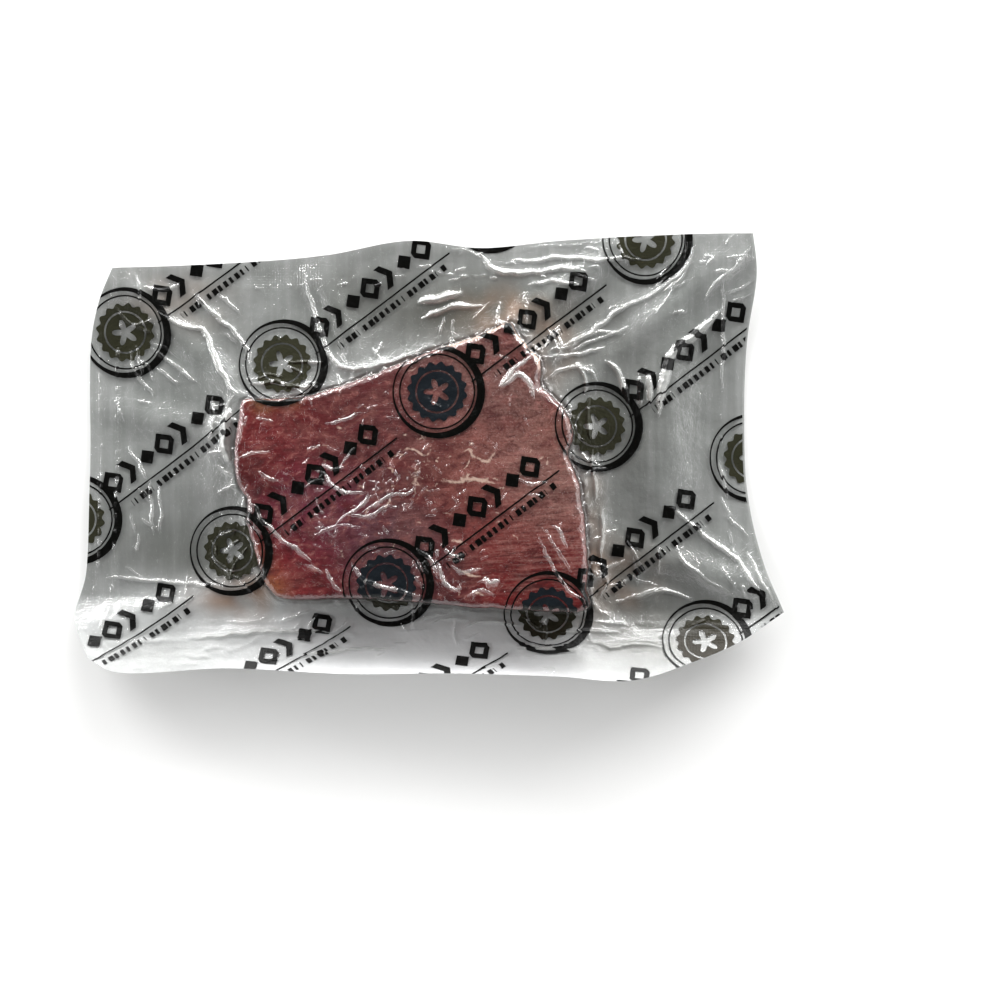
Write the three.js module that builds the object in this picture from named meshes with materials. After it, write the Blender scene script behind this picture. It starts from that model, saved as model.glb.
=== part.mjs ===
// A top sirloin steak sealed in a clear vacuum pouch, lying on its back with the printed side up.
// The pouch can't be opened, and its two films cling to the meat and to each other, so the whole
// pack is one closed solid: the steak's raised block, the film that drapes down its sides, and
// the film margin all round, which is creased and curls up along the near edge.
// Millimetres, +Z up, +Y to the pouch's far edge.
import * as THREE from "three";

// The pouch: 203 mm across its waist, with corners that splay a little.
const FILM_PAIR = 0.8; // the two films, with the trace of meat juice between them
const FAR_EDGE = [
  [-97.5, 58], [-76, 59], [-33, 62], [-6, 66.3], [16, 64.3], [42, 66.8], [75, 68.3], [100, 68.3],
];
const RIGHT_EDGE = [
  [100, 68.3], [101.3, 56], [98.8, 36], [98, 12], [99, -12], [104, -35], [109.4, -48.2],
];
const RIGHT_BEVEL = [[109.4, -48.2], [96, -57], [82, -62.8], [62, -68.3]];
const NEAR_EDGE = [[62, -68.3], [40, -67.2], [8, -66.3], [-24, -66.5], [-60, -65], [-96, -66]];
const LEFT_EDGE = [
  [-96, -66], [-104, -62], [-109.2, -50], [-106, -36], [-104.8, -6], [-104.6, 34],
  [-102, 47], [-97.5, 58],
];

// The steak: a five-sided cut with its narrow end to the left and a notch in its far right side.
const STEAK_OUTLINE = [
  [-56.4, 16], [-42, 17.2], [-22, 20.8], [0, 28.8], [16, 35.6], [25, 39],
  [30, 33.4], [34, 25.6], [38.6, 20], [45, 7.6], [47.2, -12], [48.6, -28], [50.8, -44.6],
  [34, -46.6], [4, -45], [-26, -44], [-46, -44.2],
  [-52.6, -32], [-55, -18], [-58, -4], [-58.6, 7],
];
const STEAK_LEFT = -58;
const STEAK_RIGHT = 51;
const STEAK_CENTRE = new THREE.Vector2(-3, -6);
const THICK_LEFT = 20.5; // the meat's height at its narrow end
const THICK_RIGHT = 24.5; // and at its wide end
const CROWN = 1.6; // how far the middle stands above the edges
const CROWN_REACH = [54, 40];
const LUMP = 0.5; // height of the soft hills and hollows in the cut face
const LUMP_SPACING = [57, 45]; // from one hill to the next

// How the film leaves the steak: round the top edge, down the side, then out into the margin.
const SHOULDER = 5.5; // radius of the steak's top edge
const SHOULDER_TURN = THREE.MathUtils.degToRad(70);
const WALL_LEAN = 2.2; // how far the film leans out on its way down
const FILLET = 6; // the sweep from the side into the margin
const MEET_HEIGHT = 4.6; // where the two films meet beside the steak
const MEET_REACH = 11; // how fast the margin sinks from there to the table
const BASE_INSET = 4.5; // the rounding under the steak
const BELLY_SHARE = 0.45; // how much of the way up the lower film is at the steak's side
const LEAST_SQUARE = 0.62; // keeps the drape narrow where a spoke leaves the side at a slant
const SLANT_BLENDS = 4; // evens the drape's width out round the steak's corners

// The margin: it lies near the table, lifts at its corners and curls up along the near edge.
const MARGIN_REST = 0.7;
const FLAP_LINE = -48; // the near flap starts to rise just in front of the steak
const FLAP_DEPTH = 19;
const FLAP_RISE = 13.5;
const FLAP_POWER = 1.5;
const LIFTS = [
  { x: 100, y: 68, reach: 26, rise: 6 }, // far right corner
  { x: -6, y: 70, reach: 22, rise: 3.4 }, // hump in the far edge
  { x: -100, y: 58, reach: 20, rise: 3.2 }, // far left corner
  { x: -108, y: -20, reach: 22, rise: 2 }, // left edge
  { x: 112, y: -46, reach: 24, rise: 6.5 }, // near right corner
];
// Folds in the margin, each a ridge that fades out a little beyond both its ends.
const FOLD_OVERRUN = 0.12;
const FOLDS = [
  { from: [-58, 20], to: [-96, 54], width: 4.5, rise: 2.2 }, // off the steak's far left corner
  { from: [-20, 25], to: [-35, 62], width: 4, rise: 1.6 }, // from the far side to the far edge
  { from: [30, 42], to: [64, 68], width: 5, rise: 2.2 }, // off the steak's peak
  { from: [46, 22], to: [96, 64], width: 5, rise: 2 }, // to the far right corner
  { from: [74, 46], to: [72, -26], width: 9, rise: 3 }, // soft swell down the right margin
  { from: [56, -28], to: [108, -42], width: 5, rise: 2 }, // to the near right corner
  { from: [-50, -40], to: [-106, -52], width: 5, rise: 2 }, // to the near left corner
  { from: [-62, 6], to: [-104, 16], width: 5, rise: 1.4 }, // across the left margin
];

// How finely the solid is faceted.
const EDGE_SPOKES = [32, 22, 12, 28, 22]; // spokes that end on each edge of the pouch, in order
const TOP_STEPS = [0.2, 0.4, 0.58, 0.74, 0.88, 1];
const SHOULDER_STEPS = 3;
const FILLET_STEPS = 3;
const MARGIN_STEPS = 8;
const BASE_STEPS = [0.5, 1];
const OUTLINE_SAMPLES = 480;

const { clamp, lerp } = THREE.MathUtils;

// A smooth line through its corners in even steps, without the last point, where the next edge starts.
function edgePoints(corners, steps) {
  const curve = new THREE.SplineCurve(corners.map(([x, y]) => new THREE.Vector2(x, y)));
  return curve.getSpacedPoints(steps).slice(0, -1);
}

function pouchOutline() {
  const edges = [FAR_EDGE, RIGHT_EDGE, RIGHT_BEVEL, NEAR_EDGE, LEFT_EDGE];
  return edges.flatMap((edge, i) => edgePoints(edge, EDGE_SPOKES[i]));
}

function steakOutline() {
  const corners = STEAK_OUTLINE.map(([x, y]) => new THREE.Vector3(x, y, 0));
  const curve = new THREE.CatmullRomCurve3(corners, true, "centripetal");
  return curve.getSpacedPoints(OUTLINE_SAMPLES).map((p) => new THREE.Vector2(p.x, p.y));
}

// How far the steak reaches from its centre along a direction, and how far one leaves its side
// along that direction for each millimetre square to the side.
function reachOfSteak(outline, direction) {
  for (let i = 0; i + 1 < outline.length; i++) {
    const a = outline[i].clone().sub(STEAK_CENTRE);
    const along = outline[i + 1].clone().sub(outline[i]);
    const turn = direction.cross(along);
    const share = -direction.cross(a) / turn;
    if (share < 0 || share > 1) continue;
    const reach = a.addScaledVector(along, share).dot(direction);
    if (reach > 0) {
      return { reach, slant: 1 / Math.max(Math.abs(turn) / along.length(), LEAST_SQUARE) };
    }
  }
  throw new Error("the steak's outline doesn't surround its centre");
}

// The height of the steak's cut face: thicker to the right, crowned, with soft hills and hollows.
function meatHeight(x, y) {
  const across = clamp((x - STEAK_LEFT) / (STEAK_RIGHT - STEAK_LEFT), 0, 1);
  const aside = [(x - STEAK_CENTRE.x) / CROWN_REACH[0], (y - STEAK_CENTRE.y) / CROWN_REACH[1]];
  const crown = CROWN * (1 - Math.min(1, aside[0] ** 2 + aside[1] ** 2));
  const turns = [(2 * Math.PI * x) / LUMP_SPACING[0], (2 * Math.PI * y) / LUMP_SPACING[1]];
  const lumps = LUMP * Math.sin(turns[0] + 1.3) * Math.cos(turns[1] - 0.4);
  return lerp(THICK_LEFT, THICK_RIGHT, across) - CROWN + crown + lumps;
}

function liftHeight(x, y, { x: atX, y: atY, reach, rise }) {
  const near = Math.hypot(x - atX, y - atY) / reach;
  return rise * Math.exp(-near * near);
}

function foldHeight(x, y, { from, to, width, rise }) {
  const along = new THREE.Vector2(to[0] - from[0], to[1] - from[1]);
  const start = new THREE.Vector2(x - from[0], y - from[1]);
  const share = start.dot(along) / along.lengthSq();
  const aside = start.cross(along) / along.length() / width;
  const run = clamp((share + FOLD_OVERRUN) / (1 + 2 * FOLD_OVERRUN), 0, 1);
  return rise * Math.sin(Math.PI * run) * Math.exp(-aside * aside);
}

// The middle of the film pair outside the steak, where away is the distance from the steak's side.
function marginHeight(x, y, away) {
  const beside = MEET_HEIGHT * Math.exp(-Math.max(0, away - WALL_LEAN - FILLET) / MEET_REACH);
  const flap = FLAP_RISE * Math.pow(clamp((FLAP_LINE - y) / FLAP_DEPTH, 0, 1.2), FLAP_POWER);
  const lifts = LIFTS.reduce((sum, lift) => sum + liftHeight(x, y, lift), 0);
  const folds = FOLDS.reduce((sum, fold) => sum + foldHeight(x, y, fold), 0);
  const clearOfSteak = clamp((away - WALL_LEAN) / FILLET, 0, 1);
  return MARGIN_REST + beside + (flap + lifts + folds) * clearOfSteak;
}

// A spoke for each point of the pouch's outline: its direction, how far the steak and the pouch
// reach along it, and its slant, which is blended with its neighbours' slants.
function spokeFrames() {
  const outline = steakOutline();
  const frames = pouchOutline().map((edge) => {
    const direction = edge.clone().sub(STEAK_CENTRE);
    const pouchReach = direction.length();
    direction.divideScalar(pouchReach);
    return { direction, pouchReach, ...reachOfSteak(outline, direction) };
  });
  for (let blend = 0; blend < SLANT_BLENDS; blend++) {
    const slants = frames.map(({ slant }) => slant);
    frames.forEach((frame, i) => {
      const [before, after] = [slants.at(i - 1), slants[(i + 1) % slants.length]];
      frame.slant = (before + 2 * slants[i] + after) / 4;
    });
  }
  return frames;
}

// One line from the middle of the top, out to the pouch's edge and back below to the middle.
function spoke({ direction, pouchReach, reach, slant }) {
  const at = (away) => direction.clone().multiplyScalar(reach + away * slant).add(STEAK_CENTRE);
  const points = [];
  const put = (p, z) => points.push(new THREE.Vector3(p.x, p.y, z));

  const rim = at(-SHOULDER);
  for (const step of TOP_STEPS) {
    const p = STEAK_CENTRE.clone().lerp(rim, step);
    put(p, meatHeight(p.x, p.y));
  }
  const rimHeight = meatHeight(rim.x, rim.y);
  for (let i = 1; i <= SHOULDER_STEPS; i++) {
    const turn = (SHOULDER_TURN * i) / SHOULDER_STEPS;
    put(at(SHOULDER * (Math.sin(turn) - 1)), rimHeight - SHOULDER * (1 - Math.cos(turn)));
  }

  const foot = at(WALL_LEAN + FILLET);
  const footHeight = marginHeight(foot.x, foot.y, WALL_LEAN + FILLET);
  for (let i = 0; i < FILLET_STEPS; i++) {
    const turn = (Math.PI / 2) * (i / FILLET_STEPS);
    const p = at(WALL_LEAN + FILLET * (1 - Math.cos(turn)));
    put(p, footHeight + FILM_PAIR / 2 + FILLET * (1 - Math.sin(turn)));
  }

  const footReach = reach + (WALL_LEAN + FILLET) * slant;
  const margin = Array.from({ length: MARGIN_STEPS + 1 }, (_, i) => {
    const along = lerp(footReach, pouchReach, i / MARGIN_STEPS);
    const p = direction.clone().multiplyScalar(along).add(STEAK_CENTRE);
    return [p, marginHeight(p.x, p.y, (along - reach) / slant)];
  });
  for (const [p, z] of margin) put(p, z + FILM_PAIR / 2);
  for (const [p, z] of margin.reverse()) put(p, z - FILM_PAIR / 2);
  put(at(0), (footHeight - FILM_PAIR / 2) * BELLY_SHARE);
  const base = at(-BASE_INSET);
  for (const step of [...BASE_STEPS].reverse()) put(STEAK_CENTRE.clone().lerp(base, step), 0);
  return points;
}

// Joins the spokes into one closed skin, with a pole in the middle of the top and of the base.
function packGeometry() {
  const spokes = spokeFrames().map(spoke).reverse();
  const rings = spokes[0].length;
  const { x, y } = STEAK_CENTRE;
  const top = new THREE.Vector3(x, y, meatHeight(x, y));
  const bottom = new THREE.Vector3(x, y, 0);
  const vertices = [top, ...spokes.flat(), bottom];
  const index = (s, ring) => 1 + (s % spokes.length) * rings + ring;
  const rimRing = rings - 1 - BASE_STEPS.length - 1 - MARGIN_STEPS; // the first below the edge
  const faces = [];
  for (let s = 0; s < spokes.length; s++) {
    faces.push(0, index(s, 0), index(s + 1, 0));
    for (let ring = 0; ring + 1 < rings; ring++) {
      const [a, b] = [index(s, ring), index(s + 1, ring)];
      const [c, d] = [index(s, ring + 1), index(s + 1, ring + 1)];
      if (ring < rimRing) faces.push(a, c, b, b, c, d);
      else faces.push(a, c, d, a, d, b); // so that both skins of the margin crease alike
    }
    faces.push(index(s, rings - 1), vertices.length - 1, index(s + 1, rings - 1));
  }
  const geometry = new THREE.BufferGeometry().setFromPoints(vertices);
  geometry.setIndex(faces);
  geometry.computeBoundingBox();
  const middle = geometry.boundingBox.getCenter(new THREE.Vector3());
  geometry.translate(-middle.x, -middle.y, 0); // the frame's origin is the middle of the footprint
  geometry.computeVertexNormals();
  return geometry;
}

const film = new THREE.MeshStandardMaterial({ color: 0x8f908c, roughness: 0.25, metalness: 0 });

const pack = new THREE.Group();
const pouch = new THREE.Mesh(packGeometry(), film);
pouch.name = "vacuum_pack";
pack.add(pouch);

export default pack;
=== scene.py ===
"""A top sirloin steak sealed in a printed vacuum pouch, lying on its back on a pale table.

The pouch is two films: a clear printed front and a back tinted grey, whose grey is painted shade
for the ground seen through the clear pouch. They cling to the steak and, all round it, to each other.
Shapes are worked out in millimetres and made in metres.
"""

import functools
import math

import bpy
import numpy as np
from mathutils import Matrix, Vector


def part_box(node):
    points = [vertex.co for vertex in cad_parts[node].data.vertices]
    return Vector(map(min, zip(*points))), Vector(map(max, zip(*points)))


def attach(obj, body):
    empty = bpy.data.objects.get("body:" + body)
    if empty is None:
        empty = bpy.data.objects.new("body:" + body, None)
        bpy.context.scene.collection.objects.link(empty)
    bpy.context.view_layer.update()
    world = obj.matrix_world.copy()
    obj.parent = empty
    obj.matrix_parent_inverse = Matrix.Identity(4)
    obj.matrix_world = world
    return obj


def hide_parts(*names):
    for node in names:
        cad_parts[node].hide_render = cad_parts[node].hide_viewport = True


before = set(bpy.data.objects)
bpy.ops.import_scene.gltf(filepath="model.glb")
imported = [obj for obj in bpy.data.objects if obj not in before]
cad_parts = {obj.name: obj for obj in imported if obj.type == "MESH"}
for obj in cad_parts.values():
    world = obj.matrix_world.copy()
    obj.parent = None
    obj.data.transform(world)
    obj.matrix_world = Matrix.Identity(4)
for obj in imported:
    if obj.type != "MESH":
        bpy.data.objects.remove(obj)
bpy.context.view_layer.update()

MM = 0.001

# ---- The pouch and the steak, in millimetres ----

# The pouch's edges, seen from above. Each runs from left to right or from near to far.
NEAR_EDGE = [(-104, -62), (-96, -66), (-60, -65), (-24, -66.5), (8, -66.3), (40, -67.2),
             (62, -68.3), (82, -62.8), (96, -57), (109.4, -48.2)]
FAR_EDGE = [(-97.5, 58), (-76, 59), (-33, 62), (-6, 66.3), (16, 64.3), (42, 66.8), (75, 68.3),
            (100, 68.3)]
LEFT_EDGE = [(-104, -62), (-109.2, -50), (-106, -36), (-104.8, -6), (-104.6, 34), (-102, 47),
             (-97.5, 58)]
RIGHT_EDGE = [(109.4, -48.2), (104, -35), (99, -12), (98, 12), (98.8, 36), (101.3, 56),
              (100, 68.3)]

STEAK_OUTLINE = [
    (-55.6, 16.4), (-53.9, 16.9), (-45.5, 17), (-35.5, 17.9), (-28.4, 20.1), (-19.4, 23), (-10.9, 26.4),
    (-1.9, 29.9), (4.2, 32.3), (13.2, 35), (21, 38.3), (25.2, 40), (27.2, 36.8), (31.2, 32), (34.2, 29),
    (34.3, 25.4), (34.2, 21.2), (37.2, 18.2), (41.4, 14), (43.2, 9.8), (44.2, 6.1), (42.6, 0.1),
    (43.9, -3.5), (46.3, -9.5), (46.6, -14.3), (47.8, -19.7), (48.1, -27.5), (48.7, -36.6),
    (48.2, -40.8), (49.2, -45), (47.2, -47.3), (40.2, -47.4), (28.2, -46.8), (12, -46), (-1.9, -44.6),
    (-20.5, -43.6), (-30.4, -43.6), (-44, -43.6), (-46.5, -42), (-49.5, -37.2), (-51.5, -31.1),
    (-53.5, -24.2), (-54.5, -19.7), (-54.2, -14.2), (-56, -11.2), (-57.5, -8.2), (-58.2, -0.2),
    (-57.2, 8.9)]
STEAK_LEFT, STEAK_RIGHT = -58, 51
STEAK_CENTRE = (-3, -6)
THICK_LEFT, THICK_RIGHT = 20.5, 24.5
# the top's low crown and soft lumps
CROWN, CROWN_REACH = 1.6, (54, 40)
LUMP, LUMP_SPACING = 0.5, (57, 45)

# The film's way down the steak's side: a round shoulder, a wall that leans out and a fillet at its foot.
SHOULDER, SHOULDER_TURN = 2.2, math.radians(78)
WALL_LEAN, FILLET = 0.45, 1.3
LEAST_SQUARE = 0.62  # keeps the side's slant in bounds at sharp corners
# From the foot the film sinks to the level of the margin.
MEET_HEIGHT, MEET_REACH = 3.8, 13
MARGIN_REST = 0.7
HALF_PAIR = 0.4  # half the margin's thickness in the CAD solid

FILM_LONG, FILM_WIDE = 205, 127  # the flat film's size
# the near flap curls up from this line towards the near edge
FLAP_LINE, FLAP_DEPTH, FLAP_RISE, FLAP_POWER = -48, 19, 13.5, 1.5
LIFTS = [  # x, y, reach along x and y, rise
    (100, 68, 26, 26, 6), (-6, 70, 22, 22, 3.4), (-100, 58, 20, 20, 3.2), (-108, -20, 22, 22, 2),
    (112, -46, 24, 24, 6.5)]
FOLD_OVERRUN = 0.12
FOLDS = [  # from, to, width, rise
    ((-58, 20), (-96, 54), 4.5, 1.5), ((-20, 25), (-35, 62), 4, 1.6), ((30, 42), (64, 68), 5, 2.2),
    ((46, 22), (96, 64), 5, 1.5), ((74, 46), (72, -26), 9, 3), ((56, -28), (108, -42), 5, 2),
    ((-50, -40), (-106, -52), 5, 2), ((-62, 6), (-104, 16), 5, 1.4)]


def smooth_line(corners, count, closed=False):
    """A smooth line through corners, cut into count even points. The corners may be one row of x and y."""
    p = np.reshape(corners, (-1, 2)).astype(float)
    p = np.vstack([p[-1:], p, p[:2]]) if closed else np.vstack([2 * p[0] - p[1], p, 2 * p[-1] - p[-2]])
    dense = []
    for a, b, c, d in zip(p, p[1:], p[2:], p[3:]):
        k1 = math.dist(a, b) ** 0.5
        k2 = k1 + math.dist(b, c) ** 0.5
        k3 = k2 + math.dist(c, d) ** 0.5
        t = np.linspace(k1, k2, 24, endpoint=False)[:, None]
        ab = a + (b - a) * t / k1
        bc, cd = b + (c - b) * (t - k1) / (k2 - k1), c + (d - c) * (t - k2) / (k3 - k2)
        abc, bcd = ab + (bc - ab) * t / k2, bc + (cd - bc) * (t - k1) / (k3 - k1)
        dense.append(abc + (bcd - abc) * (t - k1) / (k2 - k1))
    dense = np.vstack(dense + [p[-2:-1]])
    run = np.r_[0, np.cumsum(np.hypot(*np.diff(dense, axis=0).T))]
    at = np.linspace(0, run[-1], count, endpoint=not closed)
    return np.c_[np.interp(at, run, dense[:, 0]), np.interp(at, run, dense[:, 1])]


def soft_noise(x, y, pitch, seed):
    """Smooth noise of about -1 to 1 whose hills lie about pitch millimetres apart."""
    turns = np.random.default_rng(seed).uniform(0, 2 * np.pi, (64, 64))
    x, y = np.asarray(x, float) / pitch, np.asarray(y, float) / pitch
    left, near = np.floor(x).astype(int), np.floor(y).astype(int)
    fx, fy = x - left, y - near

    def slope(i, j):
        turn = turns[(left + i) % 64, (near + j) % 64]
        return np.cos(turn) * (fx - i) + np.sin(turn) * (fy - j)

    ux, uy = fx ** 3 * (fx * (fx * 6 - 15) + 10), fy ** 3 * (fy * (fy * 6 - 15) + 10)
    low = slope(0, 0) * (1 - ux) + slope(1, 0) * ux
    high = slope(0, 1) * (1 - ux) + slope(1, 1) * ux
    return (low * (1 - uy) + high * uy) * 1.5


def ease(low, high, x):
    """0 below low, 1 above high and smooth between."""
    t = np.clip((x - low) / (high - low), 0, 1)
    return t * t * (3 - 2 * t)


def soft_patches(x, y, *patches):
    """Patches that fade outwards. Each has its middle, its reach along x and along y, and its strength."""
    return sum(strength * np.exp(-((x - at_x) / reach_x) ** 2 - ((y - at_y) / reach_y) ** 2)
               for at_x, at_y, reach_x, reach_y, strength in patches)


# The steak's reach and slant in every direction from its centre.
outline = smooth_line(STEAK_OUTLINE, 2400, closed=True)
spread = outline - STEAK_CENTRE
outline_turn = np.arctan2(spread[:, 1], spread[:, 0])
outline_reach = np.hypot(*spread.T)
along_outline = np.roll(outline, -1, 0) - np.roll(outline, 1, 0)
along_outline /= np.hypot(*along_outline.T)[:, None]
squareness = np.abs(spread[:, 0] * along_outline[:, 1] - spread[:, 1] * along_outline[:, 0]) / outline_reach
TURNS = np.linspace(-np.pi, np.pi, 1440, endpoint=False)
order = np.argsort(outline_turn)
REACHES = np.interp(TURNS, outline_turn[order], outline_reach[order], period=2 * np.pi)
slants = 1 / np.maximum(squareness, LEAST_SQUARE)
slants = np.interp(TURNS, outline_turn[order], slants[order], period=2 * np.pi)
window = np.exp(-0.5 * (np.arange(-60, 61) / 18) ** 2)
SLANTS = np.convolve(np.r_[slants[-60:], slants, slants[:60]], window / window.sum(), "valid")
# A cut edge is never quite even: it wanders by less than a millimetre.
rim_x, rim_y = REACHES * np.cos(TURNS), REACHES * np.sin(TURNS)
REACHES = REACHES + 0.3 * soft_noise(rim_x, rim_y, 5, 11) + 0.25 * soft_noise(rim_x, rim_y, 2.2, 12)


def steak_rim(turn):
    """The steak's reach and slant in one direction from its centre."""
    return (np.interp(turn, TURNS, line, period=2 * np.pi) for line in (REACHES, SLANTS))


def around_steak(x, y):
    """The direction from the steak's centre, its reach and slant there, and the distance from its side."""
    dx, dy = x - STEAK_CENTRE[0], y - STEAK_CENTRE[1]
    turn, r = np.arctan2(dy, dx), np.hypot(dx, dy)
    reach, slant = steak_rim(turn)
    return turn, reach, slant, (r - reach) / slant


def meat_height(x, y):
    across = np.clip((x - STEAK_LEFT) / (STEAK_RIGHT - STEAK_LEFT), 0, 1)
    aside = ((x - STEAK_CENTRE[0]) / CROWN_REACH[0]) ** 2 + ((y - STEAK_CENTRE[1]) / CROWN_REACH[1]) ** 2
    lumps = LUMP * np.sin(2 * np.pi * x / LUMP_SPACING[0] + 1.3) * np.cos(2 * np.pi * y / LUMP_SPACING[1] - 0.4)
    relief = 0.32 * soft_noise(x, y, 13, 21) + 0.2 * soft_noise(x, y, 6, 22) + 0.1 * soft_noise(x, y, 2.6, 23)
    return THICK_LEFT + (THICK_RIGHT - THICK_LEFT) * across - CROWN * np.minimum(1, aside) + lumps + relief


def margin_height(x, y, away):
    beside = MEET_HEIGHT * np.exp(-np.maximum(0, away - WALL_LEAN - FILLET) / MEET_REACH)
    # the flap turns up more sharply towards the left
    sharp = ease(-35, -72, x)
    flap = (FLAP_RISE - 2.5 * sharp) * np.clip(
        (FLAP_LINE + 4.5 * sharp - y) / (FLAP_DEPTH + 4 * sharp), 0, 1.2) ** (FLAP_POWER - 0.28 * sharp)
    raised = flap + soft_patches(x, y, *LIFTS)
    for start, end, width, rise in FOLDS:
        ax, ay = end[0] - start[0], end[1] - start[1]
        length = math.hypot(ax, ay)
        share = ((x - start[0]) * ax + (y - start[1]) * ay) / length ** 2
        aside = ((x - start[0]) * ay - (y - start[1]) * ax) / length / width
        run = np.clip((share + FOLD_OVERRUN) / (1 + 2 * FOLD_OVERRUN), 0, 1)
        raised = raised + rise * np.sin(np.pi * run) * np.exp(-aside ** 2)
    return MARGIN_REST + beside + raised * np.clip((away - WALL_LEAN) / FILLET, 0, 1)


def pack_height(x, y):
    """The height of the smooth pack's top, and the distance from the steak's side."""
    turn, reach, slant, away = around_steak(x, y)
    ux, uy = np.cos(turn), np.sin(turn)
    rim, foot = reach - SHOULDER * slant, reach + (WALL_LEAN + FILLET) * slant
    rim_height = meat_height(STEAK_CENTRE[0] + ux * rim, STEAK_CENTRE[1] + uy * rim)
    foot_height = HALF_PAIR + margin_height(
        STEAK_CENTRE[0] + ux * foot, STEAK_CENTRE[1] + uy * foot, WALL_LEAN + FILLET)
    top = meat_height(x, y)
    lean = np.clip(away / SHOULDER + 1, 0, math.sin(SHOULDER_TURN))
    shoulder = rim_height - SHOULDER * (1 - np.sqrt(1 - lean ** 2))
    wall_start = SHOULDER * (math.sin(SHOULDER_TURN) - 1)
    wall_top = rim_height - SHOULDER * (1 - math.cos(SHOULDER_TURN))
    down = np.clip((away - wall_start) / (WALL_LEAN - wall_start), 0, 1)
    wall = wall_top + (foot_height + FILLET - wall_top) * down
    left = np.clip(1 - (away - WALL_LEAN) / FILLET, 0, 1)
    sweep = foot_height + FILLET * (1 - np.sqrt(1 - left ** 2))
    margin = margin_height(x, y, away) + HALF_PAIR
    z = np.where(away <= -SHOULDER, top, np.where(away <= wall_start, shoulder, np.where(
        away <= WALL_LEAN, wall, np.where(away <= WALL_LEAN + FILLET, sweep, margin))))
    return z, away


# ---- Creases ----

FACE_SLOPE = 0.72  # of the two faces of a crease
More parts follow.
